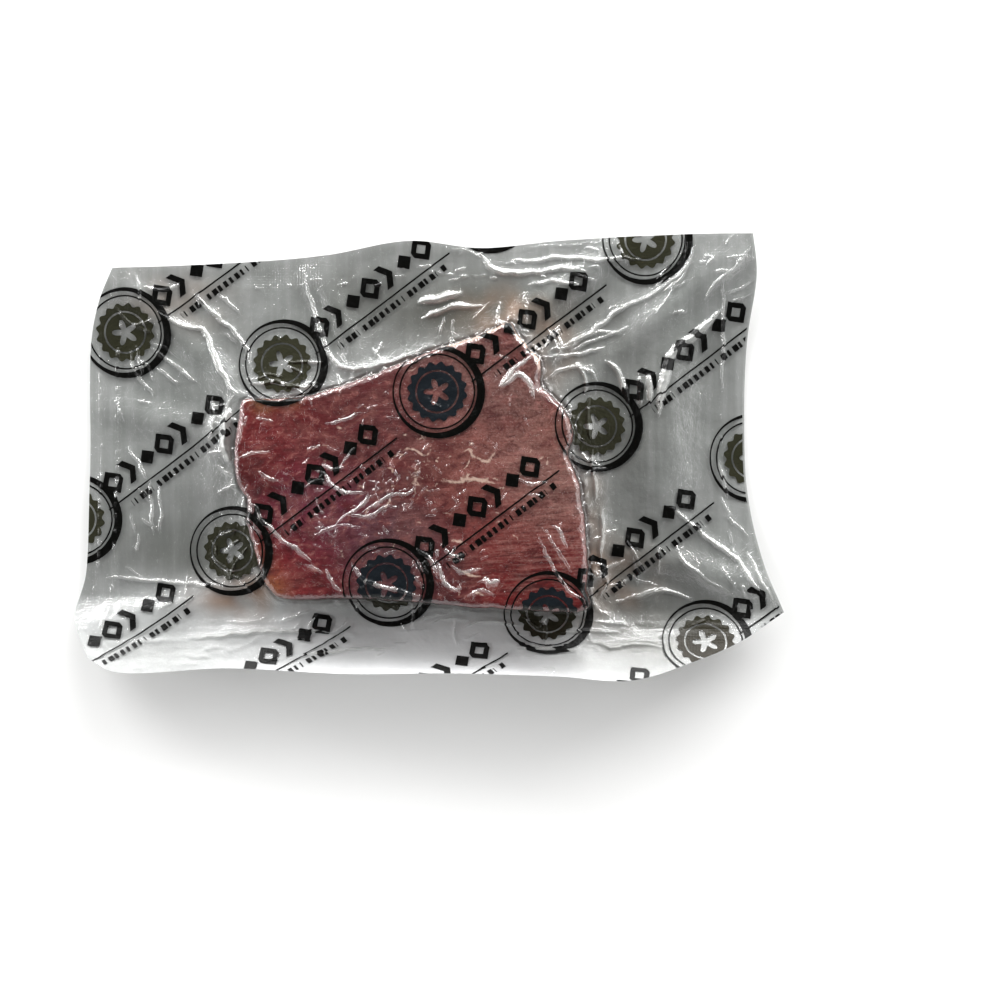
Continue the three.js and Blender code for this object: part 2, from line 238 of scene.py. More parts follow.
# Creases in the margin: the width and rise of each, then x and y of the line it follows.
MARGIN_CREASES = [
    # off the steak's far left corner
    (1.2, 1, -73.7, 51.3, -66.3, 43.9, -60.4, 38.6, -55.8, 32.7, -54.6, 26.8),
    (1.5, 1.3, -83.3, 44.5, -75.9, 40.1, -69.4, 38.6, -66.3, 31.2, -62.6, 23.7, -58.3, 17.9),
    (1, 0.5, -92.9, 33.3, -90.1, 25.3, -84.9, 17.9), (1, 0.5, -86.4, 34.3, -75.3, 25.9, -70.6, 22.2),
    (1, 0.5, -88.6, 52.4, -82, 51, -76.5, 53.5), (0.9, 0.5, -97, 46, -91, 40.5, -84.5, 42.5),
    (1.3, 0.6, -56, 22, -47, 22.6, -40, 21.2, -34, 22.8),
    # down from the hump in the far edge, then along the steak
    (1.25, 1.3, -38.5, 60, -36.7, 49.2, -34.2, 43, -33, 38.1, -31.4, 33.7, -29.6, 29.7, -25.2, 26.6, -17.2,
     27.5, -7.9, 30.3, 0.5, 33.7), (0.9, 0.4, -45.6, 29.3, -32.3, 29.3),
    (1.4, 0.8, -60, 18.3, -62.2, 13.4, -63.7, 6.6, -61.6, 0.8), (1, 0.6, -66.5, 20, -66, 12, -67.5, 5),
    (3, 1, -61, 15, -62.3, 9.5, -62.8, 3.5, -61.3, -2.5),
    # along the far edge
    (1.9, 1.2, 15.1, 63.2, 20, 57.6, 26.2, 56.7, 34.6, 56.7, 40.8, 58.2, 49, 57),
    (1.4, 0.8, 24, 60.9, 29.3, 60.4, 39.9, 61.6, 52, 60.9, 66, 61.3), (1.1, 0.6, 5.9, 64, 12, 63.6, 16, 61),
    (0.9, 0.4, 30.2, 64.4, 43.1, 65.2, 55.1, 66.4), (1.2, 0.5, 30.6, 53, 39.9, 53.9, 47, 52.6),
    (2.6, 0.9, -3.5, 47.7, 4.5, 48.9, 10.7, 50.8), (1.8, 0.6, -2, 42.5, 8, 46, 17, 46.5),
    # into the far right corner
    (1.2, 0.8, 81.1, 66, 81.7, 61.6, 78, 56.7, 70.9, 50.5, 63.4, 47.7, 55.4, 45.2),
    (0.9, 0.5, 80.2, 60.7, 78.6, 56, 74.2, 51), (1, 0.4, 85, 62, 87.5, 61, 86, 58.6),
    (1.2, 1.1, 99.1, 64.4, 94.7, 57.9, 88.6, 53.3, 85.5, 47.8), (0.9, 0.4, 87.7, 57, 92.3, 56.7),
    (1.5, 0.9, 40.8, 33.7, 50.1, 38.1, 60.3, 46.2, 64.7, 48.3), (1.1, 0.5, 43.2, 32.6, 52.5, 36.3, 62.4, 40.1),
    (1, 0.4, 46, 36.5, 53.5, 38.6, 60, 38),
    # puckers by the steak's notch, and the swell beyond them
    (1.1, 0.7, 34.8, 30.1, 46.3, 31.6, 55.2, 33.2), (1, 0.6, 36.1, 23.3, 43.2, 27.6, 50.9, 25.5, 52.4, 22.4),
    (1, 0.5, 38, 27.5, 41, 33, 40, 38), (1.7, 1, 54.3, 29.7, 58.5, 26.6, 61.9, 16.4),
    (1.4, 0.6, 65.6, 24.6, 66.2, 15.4), (1.8, 0.8, 68.3, 25.6, 68.6, 15.9),
    (2.6, 1, 90.4, 45.2, 83.3, 38.1, 75.8, 31.9, 73.3, 25.7, 71.8, 18.2, 71.2, 12),
    (1, 0.4, 91, 55, 91.4, 40, 91, 20),
    # left margin
    (0.95, 0.6, -67.7, -30.1, -62.4, -35.4, -57.5, -39.4, -52.2, -43.8),
    (1, 0.5, -92.9, 2.7, -90.5, -1.3, -87.4, -7.5), (0.9, 0.35, -86.1, -6.9, -85.8, -15.2, -85.2, -24.8),
    (0.9, 0.35, -83.6, -8.1, -83, -16.8, -83, -24.8), (0.9, 0.4, -66.3, -2.6, -58.9, -6.9),
    (1.2, 0.5, -100, -37.5, -80, -39, -62, -40.5),
    # right margin, towards the near right corner
    (0.9, 0.5, 90.4, -2, 91.3, -7.5, 92.8, -13.7), (1.3, 0.5, 50, 18, 49.2, 12, 50.4, 5),
    (1.2, 0.5, 50.2, 2, 51.2, -6, 51.6, -14), (1.4, 0.6, 53.4, -16, 53.9, -24, 53, -33),
    (1.2, 0.5, 45.6, 29, 48.8, 23.5, 48, 19.5), (1.2, 0.5, 52.6, -35, 55, -39.5, 53.2, -44),
    (1.3, 1, 74, -15.2, 80.2, -19.9, 88.2, -27, 93.5, -30.1, 99.7, -38.5, 104.2, -43.9),
    (1.1, 0.8, 76.6, -27.6, 79, -32.2, 86.3, -38.5, 90.4, -40.7, 94.8, -43.7),
    (0.9, 0.4, 70.8, -27.6, 71.4, -36.9), (1.1, 0.7, 98.6, -29.7, 103.8, -40.8, 107.8, -48.5),
    (1.3, 0.6, 62, -44, 72, -42, 82, -44.5),
    # the near flap
    (1.5, 0.7, 26.2, -59.3, 33, -58.9, 40, -59.3, 47, -59.6),
    (1.3, 0.6, 49, -57, 58, -58.5, 66, -57.6, 74, -59), (1.3, 0.5, 10, -52.5, 20, -51.2, 30, -52),
    (1.2, 0.5, 38, -54.8, 50, -54, 60, -54.8), (1, 0.5, -83.4, -47.5, -78.8, -45.3),
    (1.6, 0.5, -75.8, -56.6, -51.3, -54.1, -26.8, -54.8), (1.4, 0.4, -39.5, -61.3, -20.5, -59.2, -8.3, -59.5),
    (0.9, 0.5, 56.1, -45.8, 65.4, -42.7, 73.7, -40.8), (1.1, 0.6, 50.9, -38.4, 55.5, -34.7, 60.8, -32.2),
    (0.9, 0.5, 52.4, -41.5, 58.6, -39.6, 65.4, -35.9),
]
# Creases in the film over the meat.
MEAT_CREASES = [
    # the bright fold by the notch
    (1.6, 0.5, 31.2, 29.3, 26.7, 25.4, 21.6, 20.3), (1.7, 0.5, 21.6, 20.3, 27.6, 23.8, 30, 22.7, 32.7, 16.7),
    # the long fold across the near left corner
    (1.2, 0.4, -54.6, -13.4, -50.9, -17.3, -49.4, -19.7, -46.4, -22.7, -38, -29.3, -33.4, -33.2),
    (1, 0.4, -30.4, -33.8, -29.5, -36.8, -26.5, -40.1, -24.4, -41.4),
    (1.25, 0.5, -22, -32.3, -20.5, -35.6, -15.4, -38.7, -10.3, -40.1, -5.5, -41.7, -0.9, -42.9),
    (0.9, 0.3, -36, -33, -31, -35.5),
    # the puckers left of the middle
    (1.2, 0.4, -33.4, -4.7, -30.4, -6.2, -28.3, -9.2, -25.3, -11.3, -20.8, -11.3, -17.5, -11.3),
    (1.1, 0.4, -31, -2.6, -27.6, -4.4, -24.8, -4),
    (1.1, 0.4, -17.5, -11.3, -17.8, -13.7, -20.8, -16.7, -25, -18.2),
    (1.05, 0.4, -19, -17.6, -15.4, -15.2, -10, -12.2, -5.2, -11.6, -2.8, -8.6),
    (0.9, 0.3, -25, -17, -19, -18.8, -12, -15.8, -8.5, -15.4), (0.8, 0.3, -36.5, -9.8, -32, -8, -28, -9.5),
    (0.8, 0.3, -34, -24, -26, -21.5, -19, -21.8), (0.95, 0.3, -30.4, 9.2, -25.3, 10.1, -19, 12.8),
    (0.8, 0.25, -26, -3.8, -21.4, 2.2), (0.8, 0.25, -36, 1, -32, 2.6),
    # by the left side
    (0.9, 0.3, -53.6, 11.9, -55.8, 6, -57.5, 1), (0.8, 0.3, -51, 11.3, -46.1, 9.5),
    (0.9, 0.3, -56.6, -0.8, -52.1, 0.4, -46.4, 0.8), (0.95, 0.3, -50.6, -5, -46.6, -7.4, -43.6, -8),
    (0.8, 0.3, -52, -21.5, -49.5, -24),
    # lower right
    (1.1, 0.4, 37.8, -21.2, 40.2, -23.3, 42.1, -28.1), (0.8, 0.3, 34.8, -21.5, 39, -28.1, 43.8, -35.9),
    (0.95, 0.4, 33.6, -23.9, 36.6, -31.1, 41.4, -39, 48.1, -45), (0.8, 0.2, 27, -7.5, 32, -9, 36.5, -8.4),
    (0.8, 0.2, 30, -12, 35, -12.6),
    # the crumple at the near edge
    (1.15, 0.5, 3, -31.1, 6, -38.9, 9.3, -40.7, 10.5, -37.7), (1, 0.4, -3, -28, 1.5, -31.7, 4, -37.5),
    (1.2, 0.4, 5.5, -28.5, 9, -30.4, 12, -29.6), (1, 0.4, 7, -33.5, 11.5, -35.5, 17, -33.5),
    (1.4, 0.4, 17.5, -37, 19.5, -38.6, 22.5, -38), (1, 0.4, 12, -43, 17, -40.5, 20.5, -42.5),
]


def distance_along(x, y, line, reach):
    """The points within reach of a line: which they are, how far from it and how far along it."""
    line = np.asarray(line, float)
    near = np.flatnonzero(
        (x > line[:, 0].min() - reach) & (x < line[:, 0].max() + reach)
        & (y > line[:, 1].min() - reach) & (y < line[:, 1].max() + reach))
    px, py = x[near], y[near]
    closest, share = np.full(near.size, 1e9), np.zeros(near.size)
    steps = len(line) - 1
    for i, (a, b) in enumerate(zip(line, line[1:])):
        d = b - a
        t = np.clip(((px - a[0]) * d[0] + (py - a[1]) * d[1]) / max(d @ d, 1e-9), 0, 1)
        away = np.hypot(px - a[0] - t * d[0], py - a[1] - t * d[1])
        better = away < closest
        closest[better] = away[better]
        share[better] = (i + t[better]) / steps
    return near, closest, share


def add_crease(folds, swells, x, y, line, width, rise):
    """Pinches film into a ridge: two steep faces that meet in a fold line, on a low swell."""
    near, away, share = distance_along(x, y, line, 4 * width)
    taper = np.clip(5 * share * (1 - share), 0.02, 1) ** 0.5
    face = 0.6 * width * taper
    fold = FACE_SLOPE * (face - np.sqrt(away ** 2 + 0.002))
    folds[near] = np.maximum(folds[near], fold)
    swells[near] += 0.4 * rise * taper * np.exp(-(away / (1.6 * width)) ** 2)


def add_vein(amount, x, y, line, width, strength):
    """Lays a vein of fat along a line: the amount falls evenly to nothing over four widths."""
    near, away, share = distance_along(x, y, line, 4 * width)
    taper = np.clip(5 * share * (1 - share), 0, 1) ** 0.4
    amount[near] = np.maximum(amount[near], strength * taper * (1 - away / (4 * width)))


def scattered_creases(seed, count, place, direction, length, width, rise):
    """Small creases at random places. place gives a point from two random numbers, direction its lie."""
    rng = np.random.default_rng(seed)
    for _ in range(count):
        x, y = place(rng)
        lie = direction(x, y, rng)
        reach = rng.uniform(*length) / 2
        bend = rng.uniform(-0.25, 0.25)
        t = np.linspace(-1, 1, 4)
        turn = lie + bend * t
        yield (np.c_[x + np.cumsum(np.cos(turn)) * reach / 2 - np.cos(lie) * reach,
                     y + np.cumsum(np.sin(turn)) * reach / 2 - np.sin(lie) * reach],
               rng.uniform(*width), rng.uniform(*rise))


def anywhere(x_range, y_range):
    return lambda rng: (rng.uniform(*x_range), rng.uniform(*y_range))


def beside_steak(low, high):
    def place(rng):
        turn = rng.uniform(-np.pi, np.pi)
        reach, slant = steak_rim(turn)
        r = reach + rng.uniform(low, high) * slant
        return STEAK_CENTRE[0] + r * math.cos(turn), STEAK_CENTRE[1] + r * math.sin(turn)
    return place


def outward(loose):
    return lambda x, y, rng: math.atan2(y - STEAK_CENTRE[1], x - STEAK_CENTRE[0]) + rng.normal(0, loose)


def lying(angle, loose):
    return lambda x, y, rng: math.radians(angle) + rng.normal(0, loose)


def film_creases():
    """Every crease of the film: the placed ones, then the small scattered ones."""
    for width, rise, *line in MARGIN_CREASES + MEAT_CREASES:
        yield smooth_line(line, 14), width, rise
    for scatter in (  # seed, count, place, direction, and the ranges of length, width and rise
        # gathers where the film leaves the steak, squeezed tight by the vacuum
        (31, 46, beside_steak(2, 9), outward(0.5), (5, 14), (0.6, 1), (0.2, 0.6)),
        (32, 40, beside_steak(-2, 3), outward(0.8), (2, 6), (0.55, 0.8), (0.1, 0.3)),
        # fine wrinkles over the meat
        (33, 70, beside_steak(-46, -3), lying(15, 0.8), (1.5, 6), (0.45, 0.62), (0.05, 0.15)),
        # the tangles left of the steak's middle and by its near edge
        (57, 34, anywhere((-36, -4), (-24, -2)), lying(15, 0.9), (1.5, 5), (0.5, 0.75), (0.1, 0.3)),
        (58, 24, anywhere((-4, 21), (-43, -27)), lying(-30, 0.9), (1.5, 5), (0.5, 0.8), (0.1, 0.3)),
        # the margin's corners, edges and the flap
        (34, 12, anywhere((60, 98), (36, 66)), lying(40, 0.5), (5, 16), (0.6, 0.9), (0.15, 0.5)),
        (35, 12, anywhere((-96, -60), (14, 56)), lying(-52, 0.4), (5, 16), (0.6, 0.9), (0.15, 0.5)),
        (36, 8, anywhere((-98, -62), (-40, 10)), lying(-70, 0.5), (4, 14), (0.55, 0.8), (0.1, 0.35)),
        (37, 9, anywhere((62, 104), (-46, 0)), lying(-45, 0.3), (5, 16), (0.6, 0.8), (0.1, 0.4)),
        (38, 16, anywhere((-50, 70), (52, 64)), lying(4, 0.25), (3, 12), (0.55, 0.9), (0.1, 0.35)),
        (39, 26, anywhere((-98, 78), (-66, -50)), lying(2, 0.16), (4, 20), (0.6, 1), (0.1, 0.3)),
    ):
        yield from scattered_creases(*scatter)


# ---- Meshes ----

low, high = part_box("vacuum_pack")
edges = np.vstack([smooth_line(e, 200) for e in (NEAR_EDGE, FAR_EDGE, LEFT_EDGE, RIGHT_EDGE)])
SHIFT = np.array([(low.x + high.x) / 2 / MM, (low.y + high.y) / 2 / MM]) - (edges.min(0) + edges.max(0)) / 2


def in_scene(name, data):
    thing = bpy.data.objects.new(name, data)
    bpy.context.scene.collection.objects.link(thing)
    return thing


def make_piece(name, points, quads, material, values, maps={}, normals=None):
    """Makes a mesh from millimetre points, with values on its points and flat maps in millimetres."""
    mesh = bpy.data.meshes.new(name)
    placed = np.array(points, float)
    placed[:, :2] += SHIFT
    mesh.from_pydata(placed * MM, [], quads)
    mesh.update()
    for key, value in values.items():
        kind, field = ("FLOAT_COLOR", "color") if value.ndim == 2 else ("FLOAT", "value")
        mesh.attributes.new(key, kind, "POINT").data.foreach_set(field, value.astype(np.float32).ravel())
    corners = np.zeros(len(mesh.loops), np.int32)
    mesh.loops.foreach_get("vertex_index", corners)
    for key, flat in maps.items():
        mesh.uv_layers.new(name=key).data.foreach_set("uv", flat[corners].astype(np.float32).ravel())
    mesh.polygons.foreach_set("use_smooth", np.ones(len(mesh.polygons), bool))
    if normals is not None:
        mesh.normals_split_custom_set_from_vertices(normals)
    mesh.materials.append(material)
    piece = in_scene(name, mesh)
    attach(piece, "root")
    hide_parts("vacuum_pack")


def grid_quads(columns, rows, closed=False):
    """Quads between columns of points, each rows long."""
    c = np.arange(columns if closed else columns - 1)[:, None]
    r = np.arange(rows - 1)[None, :]
    a, b = c * rows + r, (c + 1) % columns * rows + r
    return np.stack([a, b, b + 1, a + 1], -1).reshape(-1, 4).tolist()


def pouch_grid(columns, rows):
    """Points spread evenly over the pouch between its four edges, and how far across and up each is."""
    near, far = smooth_line(NEAR_EDGE, columns), smooth_line(FAR_EDGE, columns)
    left, right = smooth_line(LEFT_EDGE, rows), smooth_line(RIGHT_EDGE, rows)
    u = np.linspace(0, 1, columns)[:, None, None]
    v = np.linspace(0, 1, rows)[None, :, None]
    corners = ((1 - u) * (1 - v) * near[0] + u * (1 - v) * near[-1]
               + (1 - u) * v * far[0] + u * v * far[-1])
    xy = (1 - v) * near[:, None] + v * far[:, None] + (1 - u) * left[None] + u * right[None] - corners
    return (xy.reshape(-1, 2), *(np.broadcast_to(part, (columns, rows, 1)).ravel() for part in (u, v)))


def from_rim(u, v):
    """How far inside the film's nearest edge a point is."""
    return np.minimum(np.minimum(u, 1 - u) * FILM_LONG, np.minimum(v, 1 - v) * FILM_WIDE)


def film_height(x, y, u, v):
    """The film's height without its creases, what they add, its distance from the steak, and its folds."""
    smooth, away = pack_height(x, y)
    folds, swells = np.zeros_like(x), np.zeros_like(x)
    # A pinch in film wanders and is beaded, because the film gives way a little at a time.
    bent_x = x + 0.6 * soft_noise(x, y, 4.5, 43) + 0.12 * soft_noise(x, y, 1.6, 44)
    bent_y = y + 0.6 * soft_noise(x, y, 4.5, 45) + 0.12 * soft_noise(x, y, 1.6, 46)
    for line, width, rise in film_creases():
        add_crease(folds, swells, bent_x, bent_y, line, width, rise)
    creased = folds * (0.97 + 0.2 * soft_noise(x, y, 1.8, 47)) + swells
    # the edges of the heat seals: a beaded step along each side
    for seal_at, strength, shown in (
            (v * FILM_WIDE - 9.5, 0.3, ease(-60, -20, x)), ((1 - v) * FILM_WIDE - 8.6, 0.34, ease(-62, -50, x)),
            (u * FILM_LONG - 3.6, 0.34, ease(50, 10, y)), (u * FILM_LONG - 8.6, 0.36, ease(56, 40, y)),
            ((1 - u) * FILM_LONG - 8, 0.3, ease(22, 0, y))):
        wander = seal_at + 0.5 * soft_noise(x, y, 14, 48)
        beads = np.clip(-0.05 + 1.7 * soft_noise(x, y, 2.2, 49) + 0.9 * soft_noise(x, y, 19, 50), 0, 1)
        creased = creased + strength * shown * beads * np.exp(-(wander / 0.4) ** 2)
    # film crumples where it turns down the steak's side
    turned = ease(-2.5, -0.5, away) * ease(5, 1.5, away) * (0.35 + 0.65 * ease(-20, 20, x + y))
    creased = creased + turned * (0.4 * soft_noise(x, y, 3.2, 54) + 0.22 * soft_noise(x, y, 1.5, 55))
    creased += ease(2, 14, away) * (0.35 * soft_noise(x, y, 17, 41) + 0.16 * soft_noise(x, y, 7, 42))
    # the flap is drawn into long level streaks
    creased += 0.2 * ease(-46, -54, y) * (soft_noise(x / 7, y, 2.8, 53) + 0.4 * soft_noise(x / 9, y, 1.5, 56))
    return smooth, creased * (0.35 + 0.65 * ease(0, 5, from_rim(u, v))), away, folds


def unrolled(x, y, creased, columns, rows):
    """Where each point of the film lay before it was pulled down and creased, for its print."""
    slope_x = np.gradient(creased.reshape(columns, rows), axis=0).ravel() * columns / FILM_LONG
    slope_y = np.gradient(creased.reshape(columns, rows), axis=1).ravel() * rows / FILM_WIDE
    beyond, count = -72, 60
    steps = np.linspace(FLAP_LINE, beyond, count)
    rise = FLAP_RISE * FLAP_POWER / FLAP_DEPTH * ((FLAP_LINE - steps) / FLAP_DEPTH) ** (FLAP_POWER - 1)
    extra = np.cumsum(np.sqrt(1 + rise ** 2) - 1) * (FLAP_LINE - beyond) / count
    down = np.interp(-y, -steps, extra)
    return np.c_[x + np.clip(slope_x, -1, 1) * 0.9, y - down + np.clip(slope_y, -1, 1) * 0.9]


# ---- Materials ----


def linear(code):
    """An sRGB hex colour as linear light."""
    parts = [int(code[i:i + 2], 16) / 255 for i in (1, 3, 5)]
    return tuple(c / 12.92 if c <= 0.04045 else ((c + 0.055) / 1.055) ** 2.4 for c in parts) + (1,)


def add_node(tree, kind, inputs=(), operation=None, **settings):
    """Adds a node. inputs gives its sockets, by place or by name, a value or a node or socket to link from."""
    node = tree.nodes.new("ShaderNode" + kind)
    if operation:
        node.operation = operation
    for key, value in settings.items():
        setattr(node, key, value)
    for key, value in inputs.items() if isinstance(inputs, dict) else enumerate(inputs):
        if isinstance(value, bpy.types.Node):
            value = value.outputs[0]
        if isinstance(value, bpy.types.NodeSocket):
            tree.links.new(value, node.inputs[key])
        else:
            node.inputs[key].default_value = value
    return node


def cleared(owner):
    """Clears a material or a world and gives what adds a node to it."""
    owner.use_nodes = True
    owner.node_tree.nodes.clear()
    return functools.partial(add_node, owner.node_tree)


def polyamide_film():
    """Clear coextruded polyamide film, cast and stretched: glass-clear, with sharp gloss on every
    crease, a faint milkiness where it has been strained, and near-black flexographic print."""
    material = bpy.data.materials.new("polyamide_film_printed")
    add = cleared(material)
    # The print's design, in millimetres on the flat film: slanted rows of a scalloped seal in a
    # ring, a band of bold shapes, a thin rule and a row of short dashes.
    slant, row_pitch, repeat, stagger = math.radians(37), 37, 80, 33
    flat = add("UVMap", uv_map="print_mm")
    turned = add("VectorRotate", {"Vector": flat, "Angle": -slant}, rotation_type="Z_AXIS")
    sides = add("SeparateXYZ", [turned])
    upward = add("Math", [sides.outputs[1], -13])
    across = add("Math", [upward, row_pitch / 2, -row_pitch / 2], "WRAP")
    row = add("Math", [add("Math", [upward, across], "SUBTRACT"), row_pitch], "DIVIDE")
    shifted = add("Math", [row, stagger, sides.outputs[0]], "MULTIPLY_ADD")
    along = add("Math", [shifted, repeat, 0], "WRAP")
    # the seal: a scalloped disc with a clear star, inside a bold and a thin ring
    from_seal = add("Math", [along, 14], "SUBTRACT")
    radius = add("VectorMath", [add("CombineXYZ", [from_seal, across])], "LENGTH").outputs["Value"]
    bearing = add("Math", [across, from_seal], "ARCTAN2")
    lobes, points = (add("Math", [add("Math", [bearing, turns], "MULTIPLY")], "COSINE") for turns in (16, 5))
    disc = add("Math", [radius, add("Math", [lobes, 0.5, 8.6], "MULTIPLY_ADD")], "LESS_THAN")
    star = add("Math", [radius, add("Math", [points, 1.3, 2.8], "MULTIPLY_ADD")], "GREATER_THAN")
    hairline = add("Math", [1, add("Math", [radius, 6.3, 0.28], "COMPARE")], "SUBTRACT")
    for cut in (star, hairline):
        disc = add("Math", [disc, cut], "MULTIPLY")
    stroke = add("Math", [add("Math", [bearing, 0.9])], "COSINE")
    stroke = add("Math", [stroke, 0.5, 0.72], "MULTIPLY_ADD")
    bold_ring = add("Math", [radius, 13.2, stroke], "COMPARE")
    thin_ring = add("Math", [radius, 11.2, 0.25], "COMPARE")
    # the band: hollow diamonds, chevrons and small solid diamonds, up to 7 mm high
    band_at = add("Math", [along, 30], "SUBTRACT")
    cell = add("Math", [band_at, 3.3, -3.3], "WRAP")
    count = add("Math", [add("Math", [band_at, cell], "SUBTRACT"), 6.6], "DIVIDE")
    which = add("Math", [add("Math", [count], "ROUND"), 3], "FLOORED_MODULO")
    cell_x = add("Math", [cell], "ABSOLUTE")
    cell_y = add("Math", [add("Math", [across, 2.2], "SUBTRACT")], "ABSOLUTE")
    girth = add("Math", [cell_x, cell_y])
    diamond = add("Math", [girth, 3, 1.15], "COMPARE")
    bent = add("Math", [cell_y, 0.62, cell], "MULTIPLY_ADD")
    chevron = add("Math", [add("Math", [bent, 0.9, 1.1], "COMPARE"),
                           add("Math", [cell_y, 3.8], "LESS_THAN")], "MULTIPLY")
    band = add("Math", [girth, 2.7], "LESS_THAN")
    for number, picked in ((0, diamond), (1, chevron)):
        band = add("Mix", {0: add("Math", [which, number, 0.4], "COMPARE"), 2: band, 3: picked})
    # short dashes of uneven length, as small print looks from afar
    dash_at = add("Math", [band_at, 2.15], "DIVIDE")
    dash_seed = add("TexWhiteNoise", {"W": add("Math", [dash_at], "FLOOR")}, noise_dimensions="1D")
    dash_end = add("MapRange", [dash_seed.outputs["Value"], 0, 1, 0.1, 0.85])
    dash = add("Math", [add("Math", [dash_at], "FRACT"), dash_end], "LESS_THAN")
    dash_row = add("Math", [across, -6.6, 1], "COMPARE")
    rule = add("Math", [across, -3.9, 0.26], "COMPARE")
    # the middle of each along the row, and half its length
    strokes = [bold_ring, thin_ring]
    for parts, middle, half_length in (((band,), 19.8, 23.1), ((rule,), 20, 26), ((dash, dash_row), 22, 21)):
        drawn = add("Math", [band_at, middle, half_length], "COMPARE")
        for part in parts:
            drawn = add("Math", [drawn, part], "MULTIPLY")
        strokes.append(drawn)
    ink = disc
    for drawn in strokes:
        ink = add("Math", [ink, drawn], "MAXIMUM")

    # Fine crinkles and the heat seals' knurling, too fine for the mesh. The place is in millimetres.
    place = add("Mapping", {"Vector": add("TexCoord").outputs["Object"], "Scale": (1000, 1000, 1000)})
    fine = add("TexNoise", {"Vector": place, "Scale": 0.55, "Detail": 3, "Roughness": 0.62, "Distortion": 0.6})
    fine_ridge = add("Math", [add("Math", [fine, 0.5], "SUBTRACT")], "ABSOLUTE")
    knurl, flap_and_painted_backlight, level, strained = (add("Attribute", attribute_name=name).outputs["Fac"]
                                       for name in ("knurl", "flap_and_painted_backlight", "level", "strain"))
    crossed = add("VectorRotate", {"Vector": place, "Angle": math.radians(45)}, rotation_type="Z_AXIS")
    for way in add("SeparateXYZ", [crossed]).outputs[:2]:
        groove = add("Math", [add("Math", [way, 5.2], "MULTIPLY")], "SINE")
        knurl = add("Math", [knurl, groove], "MULTIPLY")
    relief = add("Math", [fine_ridge, -0.35, add("Math", [knurl, 0.05], "MULTIPLY")], "MULTIPLY_ADD")
    bump = add("Bump", {"Height": relief, "Distance": MM, "Strength": 1})

    # Both faces of the film mirror, so it shines more strongly than one face does.
    grazing = add("LayerWeight", {"Blend": 0.5, "Normal": bump}).outputs["Facing"]
    grazing = add("Math", [grazing, 5], "POWER")
    shine = add("Math", [grazing, 0.2, 0.12], "MULTIPLY_ADD", use_clamp=True)
    # the pressed flap is more satin than the rest, and so is the film gathered on the steak's steep side
    for dimmer in ([flap_and_painted_backlight, 0.5, 1, 1, 0.1], [level, 0, 1, 0.4, 1]):
        shine = add("Math", [shine, add("MapRange", dimmer)], "MULTIPLY")
    clear = add("BsdfTransparent", {"Color": (0.97, 0.97, 0.97, 1)})
    gloss = add("BsdfGlossy", {"Color": (1, 1, 1, 1), "Roughness": 0.1, "Normal": bump})
    film = add("MixShader", [shine, clear, gloss])
    milk = add("BsdfPrincipled", {"Base Color": linear("#c9cac6"), "Roughness": 0.3, "IOR": 1.53,
                                  "Normal": bump})
    film = add("MixShader", [add("MapRange", [strained, 0, 1, 0, 0.4]), film, milk])
    # The seal's fill is laid thinly, and the light through it is painted into its colour: blue-black over meat,
    # olive where light comes through the film, darker on the flap.
    thin_ink = linear("#15191d")
    for start, end, colour in ((0, 0.5, "#2a2a1f"), (0.5, 1, "#231e12")):
        share = add("MapRange", [flap_and_painted_backlight, start, end])
        thin_ink = add("Mix", {0: share, 6: thin_ink, 7: linear(colour)}, data_type="RGBA").outputs[2]
    ink_colour = add("Mix", {0: disc, 6: linear("#060605"), 7: thin_ink}, data_type="RGBA").outputs[2]
    ink_rough = add("MapRange", [flap_and_painted_backlight, 0.5, 1, 0.12, 0.5])
    ink_shader = add("BsdfPrincipled", {"Base Color": ink_colour, "Roughness": ink_rough, "IOR": 1.53,
                                        "Specular IOR Level": 0.25, "Normal": bump})
    inked = add("Math", [ink, add("Math", [level, 0.99], "MULTIPLY")], "MULTIPLY")
    film = add("MixShader", [inked, film, ink_shader])
    add("OutputMaterial", {"Surface": film})
    return material


def backing_film_painted_shade_grey():
    """The pouch's back: coextruded film, satin and slightly see-through, tinted grey as painted shade for the
    ground seen through the clear pouch.
    """
    material = bpy.data.materials.new("polyethylene_film_painted_shade_grey")
    add = cleared(material)
    place = add("Mapping", {"Vector": add("TexCoord").outputs["Object"], "Scale": (1000, 1000, 1000)})
    cloud = add("TexNoise", {"Vector": place, "Scale": 0.035, "Detail": 3, "Roughness": 0.5})
    # faint lines along the way the film was drawn
    along = add("Mapping", {"Vector": place, "Scale": (0.33, 0.022, 0.1)})
    drawn = add("TexNoise", {"Vector": along, "Scale": 1, "Detail": 3, "Roughness": 0.6})
    flap_and_painted_backlight, shade, juice = (add("Attribute", attribute_name=name).outputs["Fac"]
                             for name in ("flap_and_painted_backlight", "shade", "juice"))
    # each colour is laid over the last: what drives it, from and to, how much there, and the colour
    # the base grey is painted shade for the ground seen through the clear pouch; over it, the near-white is
    # painted backlight and the dark grey is painted shade
    grey = linear("#848784")
    for amount, *between, colour in (
            (cloud, 0.35, 0.65, "#939593"), (drawn, 0.5, 0.7, 0, 0.3, "#b0b2b0"),
            (drawn, 0.5, 0.3, 0, 0.22, "#666864"), (flap_and_painted_backlight, "#e2e3e4"), (shade, "#55564f"),
            (juice, "#9a7c66")):
        share = add("MapRange", [amount, *between]) if between else amount
        grey = add("Mix", {0: share, 6: grey, 7: linear(colour)}, data_type="RGBA").outputs[2]
    fine = add("TexNoise", {"Vector": place, "Scale": 0.5, "Detail": 3})
    bump = add("Bump", {"Height": fine, "Distance": 0.25 * MM, "Strength": 0.6})
    satin = add("BsdfPrincipled", {"Base Color": grey, "Roughness": 0.38, "IOR": 1.51, "Normal": bump})
    clear = add("BsdfTransparent", {"Color": (0.9, 0.9, 0.9, 1)})
    add("OutputMaterial", {"Surface": add("MixShader", [0.92, clear, satin])})
    return material


